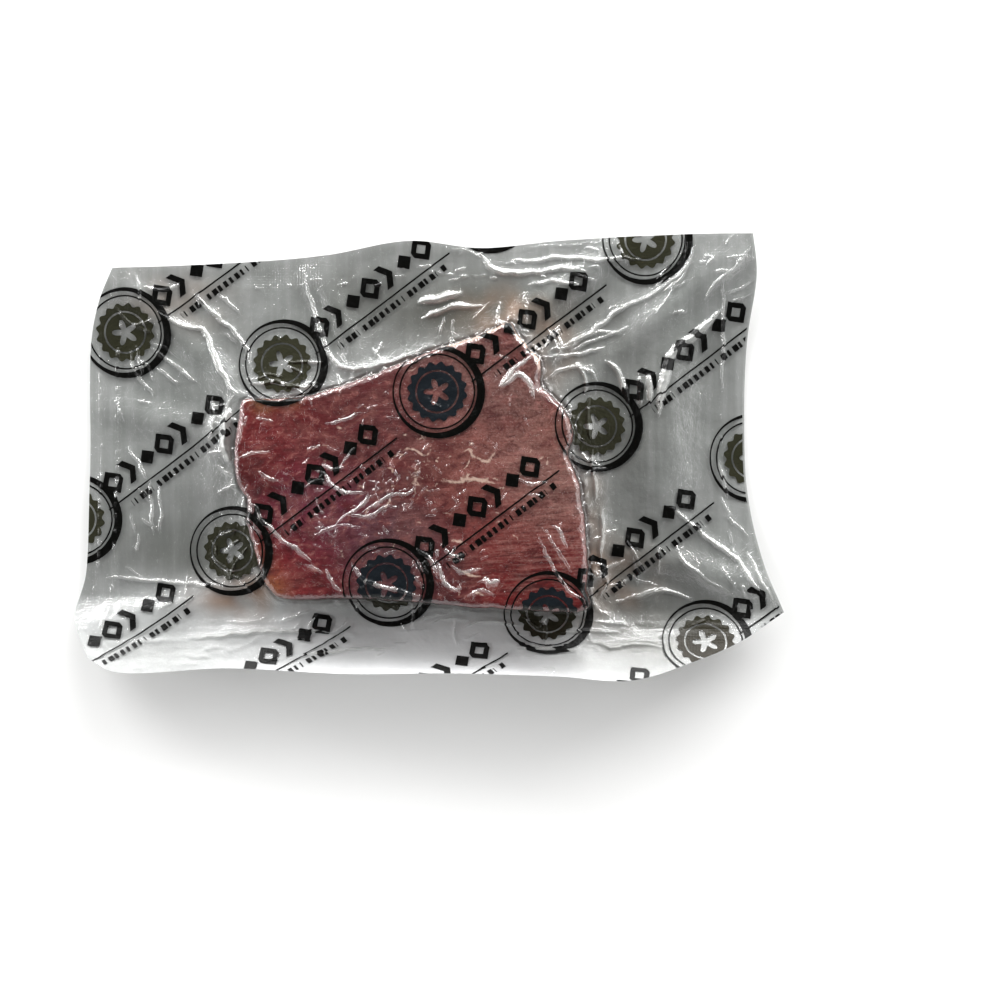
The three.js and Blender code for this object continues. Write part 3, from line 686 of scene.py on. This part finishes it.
def raw_beef():
    """Raw beef under vacuum: purplish-red lean with paler hazy zones, fibres that run across the
    cut, cream fat along its rim and in flecks, moist, with light soaking in a little."""
    material = bpy.data.materials.new("raw_beef_lean_and_fat")
    add = cleared(material)
    place = add("Mapping", {"Vector": add("TexCoord").outputs["Object"], "Scale": (1000, 1000, 1000)})
    tone = add("Attribute", attribute_name="tone")
    grained, specks_and_sheen, fat = (add("Attribute", attribute_name=name).outputs["Fac"]
                          for name in ("fibre", "marbling_and_painted_sheen", "fat"))
    # places turned along the lean's streaks and its fibres, and drawn out along them
    turned = (add("VectorRotate", {"Vector": place, "Angle": math.radians(lie)}, rotation_type="Z_AXIS")
              for lie in (-14, -3))
    along_streaks, along_fibres = (add("Mapping", {"Vector": along, "Scale": (drawn_out, 1, 1)})
                                   for along, drawn_out in zip(turned, (0.58, 0.085)))
    # patches, streaks, muscle bundles, fibres 0.4 to 1 mm wide and grain: the scale, detail, roughness and
    # distortion of each
    patch, mottle, bundle, fibre, grain = (
        add("TexNoise", {
            "Vector": at, "Scale": scale, "Detail": detail, "Roughness": rough, "Distortion": bent})
        for at, scale, detail, rough, bent in (
            (place, 0.09, 3, 0.55, 0.9), (along_streaks, 0.42, 4, 0.58, 0.6), (place, 0.2, 3, 0.55, 1),
            (along_fibres, 1, 4, 0.62, 0.35), (place, 1.35, 3, 0.7, 0)))
    # thin membranes between the muscle bundles: pale wandering lines, here and there
    offset = add("Math", [add("Math", [bundle, 0.5], "SUBTRACT")], "ABSOLUTE")
    membrane = add("Math", [add("MapRange", [offset, 0.006, 0.02, 0.5, 0]),
                            add("MapRange", [mottle, 0.5, 0.6])], "MULTIPLY")
    # pale and deep fibres, and fine pale specks where the lean is hazy, partly marbling and partly painted
    # sheen and glints of the film
    pale, deep, speck = (add("Math", [add("MapRange", spread), held], "MULTIPLY") for spread, held in (
        ([fibre, 0.5, 0.66, 0, 0.8], grained), ([fibre, 0.47, 0.34], grained),
        ([grain, 0.5, 0.75, 0.05, 0.45], specks_and_sheen)))
    broken = add("Math", [grain, 1.2, fat], "MULTIPLY_ADD")
    # crimson patches and greyer, paler ones, 8 to 15 mm wide, then streaks of 2 to 6 mm, and the rest as above
    lean = tone.outputs["Color"]
    for amount, *between, colour in (
            (patch, 0.5, 0.66, 0, 0.7, "#560a0f"), (patch, 0.5, 0.34, 0, 0.5, "#6f4541"),
            (mottle, 0.52, 0.68, 0, 0.5, "#87504a"), (mottle, 0.49, 0.33, 0, 0.7, "#40080e"),
            (membrane, "#a8706a"), (pale, "#94635c"), (deep, "#430b0d"), (grain, 0.48, 0.3, 0, 0.42, "#350b0d"),
            (speck, "#a3847b"), (broken, 1.16, 1.5, "#c0a596")):
        share = add("MapRange", [amount, *between]) if between else amount
        lean = add("Mix", {0: share, 6: lean, 7: linear(colour)}, data_type="RGBA").outputs[2]
    relief = add("Math", [fibre, 0.5, add("Math", [grain, 0.35], "MULTIPLY")], "MULTIPLY_ADD")
    bump = add("Bump", {"Height": relief, "Distance": 0.5 * MM, "Strength": 0.8})
    moist = add("MapRange", [patch, 0.3, 0.7, 0.34, 0.55])
    beef = add("BsdfPrincipled", {
        "Base Color": lean, "Roughness": moist, "IOR": 1.4, "Specular IOR Level": 0.25, "Normal": bump,
        "Subsurface Weight": 0.1, "Subsurface Radius": (1, 0.35, 0.25), "Subsurface Scale": 0.0012})
    add("OutputMaterial", {"Surface": beef})
    return material


def table_top():
    """Matt white laminate."""
    material = bpy.data.materials.new("white_laminate")
    add = cleared(material)
    top = add("BsdfPrincipled", {"Base Color": linear("#f2f2f1"), "Roughness": 0.7})
    add("OutputMaterial", {"Surface": top})
    return material


# ---- The pouch's two films ----

COLUMNS, ROWS = ((657, 405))
xy, u, v = pouch_grid(COLUMNS, ROWS)
x, y = xy.T.copy()
smooth, creased, away, folds = film_height(x, y, u, v)
# The creases are finer than the mesh, so each point takes the true slope of the film there.
step = 0.06
rise_x = (sum(film_height(x + step, y, u + step / FILM_LONG, v)[:2]) - smooth - creased) / step
rise_y = (sum(film_height(x, y + step, u, v + step / FILM_WIDE)[:2]) - smooth - creased) / step
# the flap's share; on the front film it also marks where backlight is painted into the print's thin ink
flap_share = 0.5 * ease(-2, 1.5, away) + 0.5 * ease(-44, -60, y)
from_far, from_near, from_left = (1 - v) * FILM_WIDE, v * FILM_WIDE, u * FILM_LONG
knurl = np.maximum.reduce([
    ease(1.5, 2.5, from_far) * ease(10.5, 9, from_far) * (
        ease(-62, -50, x) * ease(-24, -38, x) + 0.6 * ease(62, 70, x)),
    ease(1.5, 2.4, from_near) * ease(8.5, 7, from_near) * 0.5,
    ease(2, 2.3, from_left) * ease(4, 3.6, from_left),
    ease(8, 8.3, from_left) * ease(10, 9.6, from_left),
])
strain = np.clip(
    0.16 * ease(7, 1, np.abs(away - 2)) * (0.3 + 1.1 * soft_noise(x, y, 8, 52)) * ease(-30, 20, x + y)
    + 0.9 * ease(0.16, 0.45, folds) + 0.07 * knurl, 0, 1)
points = np.c_[x, y, smooth + creased].reshape(COLUMNS, ROWS, 3)
facing = np.c_[-rise_x, -rise_y, np.ones_like(x)]
facing = (facing / np.linalg.norm(facing, axis=1, keepdims=True)).reshape(COLUMNS, ROWS, 3)
print_mm = unrolled(x, y, creased, COLUMNS, ROWS).reshape(COLUMNS, ROWS, 2)
# On the steak's steep side the film is gathered into folds that hide its print.
level = ease(0.5, 1, away) + ease(-0.2, -0.5, away)
film_values = {"knurl": knurl, "strain": strain, "flap_and_painted_backlight": flap_share, "level": level}
film_material = polyamide_film()
# One sheet in three panels that meet exactly, so that none is too heavy.
third = (COLUMNS - 1) // 3 + 1
for place, start in (("left", 0), ("middle", third - 1), ("right", 2 * third - 2)):
    part = slice(start, start + third)
    values = {key: value.reshape(COLUMNS, ROWS)[part].ravel() for key, value in film_values.items()}
    make_piece("front_film_" + place, points[part].reshape(-1, 3), grid_quads(len(points[part]), ROWS),
               film_material, values, {"print_mm": print_mm[part].reshape(-1, 2)}, facing[part].reshape(-1, 3))

back_columns, back_rows = ((330, 203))
xy, u, v = pouch_grid(back_columns, back_rows)
x, y = xy.T.copy()
smooth, creased, away, _ = film_height(x, y, u, v)
OFF_TABLE = 0.12
gap = OFF_TABLE + 0.4 * ease(0, 6, from_rim(u, v))
under = np.interp(away, [-4.5, 0, WALL_LEAN + FILLET], [0, 0.45, 1])
foot = np.minimum(smooth, MEET_HEIGHT + MARGIN_REST + 2) - gap
below = OFF_TABLE + (foot - OFF_TABLE) * under
z = np.maximum(OFF_TABLE, np.where(away > WALL_LEAN + FILLET, smooth + creased - gap, below))
juice = (0.6 + 0.8 * soft_noise(x, y, 7, 61)) * soft_patches(
    x, y, (25, 44, 12, 7, 0.8), (-80, 48, 14, 8, 0.35), (56, -38, 12, 9, 0.7), (-57, -43, 12, 6, 1),
    (38, 32, 6, 10, 0.7), (50, -18, 4, 24, 0.4))
# Painted shade: the film's grey is darkened in patches where it stands clear of the table and the steak hides
# the light.
shade = np.clip(soft_patches(
    x, y, (4, 43, 26, 10, 0.62), (-22, 52, 14, 10, 0.35), (46, 42, 14, 12, 0.4), (66, -32, 20, 12, 0.4),
    (58, 4, 9, 26, 0.25), (-80, -30, 18, 10, 0.35), (70, 20, 16, 20, 0.2), (66, -56, 26, 12, 0.9),
    (-84, -60, 22, 7, 0.25), (26, 46, 12, 8, 0.4), (12, 46, 14, 8, 0.4), (-64, 43, 12, 10, 0.2)), 0, 0.88)
# Painted backlight: the back film's grey is lightened where light comes up through the flap, which stands off
# the table, and most of all through its middle and left.
fold_line = -44 + 5 * ease(-15, -45, x)
painted_backlight_glow = ease(fold_line, fold_line - 12, y) * (0.34 + 0.66 * np.exp(-((x - 8) / 46) ** 2))
painted_backlight_glow = np.maximum(painted_backlight_glow, 0.4 * ease(-31, -44, y) * np.exp(-((x + 68) / 30) ** 2))
make_piece(
    "back_film", np.c_[x, y, z], [q[::-1] for q in grid_quads(back_columns, back_rows)],
    backing_film_painted_shade_grey(), {"flap_and_painted_backlight": painted_backlight_glow, "juice": np.clip(juice, 0, 1), "shade": shade})

# ---- The steak ----

spokes = 440
top_rings = 110
turn = np.linspace(-np.pi, np.pi, spokes, endpoint=False)[:, None]
reach, slant = steak_rim(turn)


def at_spoke(r):
    return STEAK_CENTRE[0] + r * np.cos(turn), STEAK_CENTRE[1] + r * np.sin(turn)


# The meat lies this far under the film, and stops this far short of it at the side.
UNDER_FILM, INSIDE_FILM = 0.3, 0.35
top_r = (reach - INSIDE_FILM * slant) * np.linspace(0.004, 1, top_rings)
top_x, top_y = at_spoke(top_r)
top_z = pack_height(top_x, top_y)[0] - UNDER_FILM
side_away = np.array([0.1, 0.3, 0.4, 0.4, 0.2, -0.2, -0.9, -2.2, -4, -6])
side_share = np.array([0.86, 0.72, 0.58, 0.44, 0.32, 0.22, 0.13, 0.06, 0.025, 0.015])
side_x, side_y = at_spoke(reach + (side_away - 0.2) * slant)
side_z = top_z[:, -1:] * side_share
under_r = (reach - 6 * slant) * np.linspace(0.85, 0.004, 10)
under_x, under_y = at_spoke(under_r)
under_z = np.full_like(under_x, 0.35)
sx, sy, sz = (np.hstack(parts) for parts in (
    (top_x, side_x, under_x), (top_y, side_y, under_y), (top_z, side_z, under_z)))
rings = sx.shape[1]
sx, sy, sz = sx.ravel(), sy.ravel(), sz.ravel()
s_away = around_steak(sx, sy)[3]

# Lean colours of the cut's zones, and where each is strongest.
TONES = [  # x, y, reach, colour
    (-45, 6, 16, "#640f14"), (-20, 10, 16, "#561c1f"), (-33, -17, 14, "#5c2036"), (-41, -33, 12, "#6e1217"),
    (12, -6, 16, "#773f38"), (18, -18, 9, "#782423"), (34, -8, 13, "#815f57"), (19, 22, 14, "#6b4944"),
    (34, -35, 14, "#6c1012"), (31, 31, 7, "#56201e"), (-8, -26, 13, "#553a40"), (1, -41, 9, "#480f15"),
    # the near-black patch at (-53, -18) is painted shade in a fold by the left side
    (-8, 1, 14, "#593635"), (40, 4, 8, "#74463d"), (-53, -18, 3.2, "#170b0b"), (-51, -32, 4, "#93572c"),
    (-48, -40, 5, "#a1683c"), (-49, 16, 3, "#86652f"), (-41, 17, 3, "#8a602f"), (-55, -5, 5, "#3e0c0d")]
weights = np.array([soft_patches(sx, sy, (at_x, at_y, wide, wide, 1)) for at_x, at_y, wide, _ in TONES])
tone = (weights.T @ np.array([linear(code) for *_, code in TONES])) / (weights.sum(0)[:, None] + 1e-9)
fibre = np.clip(0.1 + soft_patches(sx, sy, (36, -32, 20, 14, 0.95), (38, -10, 12, 14, 0.45)), 0, 1)
# the zone where the film's sheen is painted into the lean as pale specks, together with marbling
marbling_and_painted_sheen = 0.1 + 0.8 * ease(-14, 24, sx + 0.5 * sy) * ease(-44, -28, sy) + 0.2 * soft_noise(sx, sy, 11, 73)

FAT_LINES = [  # width and amount, then x and y of the line
    (0.32, 1, 10.2, 0.4, 12.3, 1.3, 13.5, 1.3, 13.8, -0.2, 15.3, -1.1, 18.6, -2.3, 19.5, -1.4, 20.4, 0.4,
     21.6, 1.3), (0.2, 0.95, 13.5, -1.1, 12, -3.5, 10.8, -4.7),
    (0.38, 1.05, 3.6, -8.3, 6.6, -7.7, 8.1, -8.6, 10.2, -8.6, 11.4, -7.1, 13.2, -7.7, 16.2, -7.7, 19.2, -8,
     21.6, -9.5),
    (0.24, 1, 11.4, -7.4, 12.9, -5.6), (0.2, 0.95, 19.8, -7.1, 21.9, -7.7),
    (0.2, 0.95, 28.2, -2, 30.6, -2.9, 33.6, -1.4, 34.8, -1.1, 35.1, 0.4),
    (0.16, 0.9, 30.6, 0.1, 31.5, 1.9), (0.15, 0.85, 36.9, 2.5, 40.2, 4.9),
    (0.15, 0.85, -35.5, 0.7, -32.8, 2.2, -29.2, 2.8), (0.15, 0.85, -23.5, -0.2, -21.1, 2.2),
    (0.24, 0.95, -7.9, 0.7, -4.3, 1.9, -0.4, -0.5, 2, 1.3), (0.2, 0.9, -3, 4.5, 1, 5.5),
    (0.26, 1, 7.2, -26, 9.6, -26, 12, -26.9), (0.26, 0.95, 7.8, -31.7, 10.2, -30.2),
    (0.28, 1, 9.6, -34.7, 13.2, -36.3, 17.4, -36.6), (0.24, 0.95, 14, -41, 18, -42.5),
    (0.2, 0.9, 20.8, -17, 22.4, -17.2), (0.18, 0.9, 20.6, -12.8, 22, -12.6)]
fat = np.zeros_like(sx)
wavy_x = sx + 0.5 * soft_noise(sx, sy, 2.6, 74) + 0.2 * soft_noise(sx, sy, 1.1, 78)
wavy_y = sy + 0.5 * soft_noise(sx, sy, 2.6, 75) + 0.2 * soft_noise(sx, sy, 1.1, 79)
for width, amount, *line in FAT_LINES:
    add_vein(fat, wavy_x, wavy_y, smooth_line(line, 16), width, amount)
for line, width, amount in scattered_creases(
        71, 120, beside_steak(-48, -2), lying(10, 0.9), (1.2, 5), (0.13, 0.24), (0.6, 0.95)):
    add_vein(fat, wavy_x, wavy_y, line, width, amount)
# a split between two muscles, and a painted shadow along the line where the lean meets the film all round
split = np.zeros_like(sx)
for width, *line in ((0.3, 12.3, -12.5, 13.5, -16.1, 13.8, -20.3), (0.5, -46, -6.5, -52.5, -13),
                     (0.3, 22, -41.5, 32, -40, 42, -40.8)):
    add_vein(split, wavy_x, wavy_y, smooth_line(line, 12), width, 0.75)
painted_rim_shadow = 0.74 * ease(-1.2 - 0.6 * soft_noise(sx, sy, 6, 77), 0.1, s_away)
painted_rim_shadow *= 1 - ease(-8, 4, sx) * ease(14, 26, sy)
tone[:, :3] *= (1 - np.maximum(split, painted_rim_shadow))[:, None]
# the fat rim: a band along the far side up to the peak, and scraps down the right side
rim_right = 0.8 * ease(38, 44, sx) * ease(0.15, 0.45, soft_noise(sx, sy, 7, 76))
rim_far = ease(-6, 4, sx) * ease(20, 28, sy)
rim_wide = 0.5 + 0.9 * ease(2, 22, sx) * ease(10, 28, sy) + 0.5 * soft_noise(sx, sy, 7, 72)
fat = np.maximum(fat, np.maximum(rim_right, rim_far) * np.clip(0.6 + (rim_wide + s_away) / 2, 0, 1))
# painted shade: the side's lean is darkened and its fat dimmed below its rim's
side = (np.arange(sx.size) % rings) >= top_rings
tone[side, :3] *= 0.55
fat[side] *= 0.6
make_piece(
    "steak", np.c_[sx, sy, sz], grid_quads(spokes, rings, closed=True), raw_beef(),
    {"tone": tone, "fibre": fibre, "marbling_and_painted_sheen": np.clip(marbling_and_painted_sheen, 0, 1), "fat": np.clip(fat, 0, 1)})

# ---- Table, light and camera ----

half = 3
floor_mesh = bpy.data.meshes.new("table")
floor_mesh.from_pydata([(-half, -half, 0), (half, -half, 0), (half, half, 0), (-half, half, 0)], [],
                       [(0, 1, 2, 3)])
floor_mesh.materials.append(table_top())
floor = in_scene("table", floor_mesh)

# A light tent: bright low down, dimmer on the near side, and dark round the opening above for the camera.
tent = bpy.data.worlds.new("light_tent")
add = cleared(tent)
towards = add("SeparateXYZ", [add("TexCoord").outputs["Generated"]]).outputs
cloth = add("MapRange", [towards[2], 0.5, 0.85, 1.95, 0.06], interpolation_type="SMOOTHSTEP")
near_side = add("MapRange", [towards[1], -0.8, 0.1, 0.5, 1], interpolation_type="SMOOTHSTEP")
cloth = add("Math", [cloth, near_side], "MULTIPLY")
add("OutputWorld", {"Surface": add("Background", {"Color": (1, 1, 1, 1), "Strength": cloth})})
bpy.context.scene.world = tent

# Low windows that face the pack: the name, x and y, width and brightness of each.
WINDOW_MIDDLE, WINDOW_TALL = 0.3, 0.26
for name, at_x, at_y, width, brightness in (
        ("far_right_window", 0.59, 0.755, 0.75, 18), ("far_window", 0.07, 0.95, 0.5, 15),
        ("far_left_window", -0.665, 0.69, 0.55, 18), ("left_window", -0.95, 0, 0.3, 12)):
    lamp = bpy.data.lights.new(name, "AREA")
    lamp.shape, lamp.size, lamp.size_y = "RECTANGLE", width, WINDOW_TALL
    lamp.energy = brightness * math.pi * width * WINDOW_TALL
    window = in_scene(name, lamp)
    window.location = (at_x, at_y, WINDOW_MIDDLE)
    window.rotation_euler = (-window.location).to_track_quat("-Z", "Y").to_euler()

# Straight above the table, over the middle of the picture, which takes in 310 mm at the margin's height.
CAMERA_HEIGHT, MARGIN_HEIGHT, PICTURE_WIDE = 0.6, 0.002, 0.31
camera_data = bpy.data.cameras.new("camera")
camera_data.sensor_width = 36
camera_data.lens = 36 * (CAMERA_HEIGHT - MARGIN_HEIGHT) / PICTURE_WIDE
camera_data.clip_start = 0.01
camera = in_scene("camera", camera_data)
camera.location = ((22.2 + SHIFT[0]) * MM, (-13.7 + SHIFT[1]) * MM, CAMERA_HEIGHT)
bpy.context.scene.camera = camera
bpy.context.scene.view_settings.view_transform = "Standard"
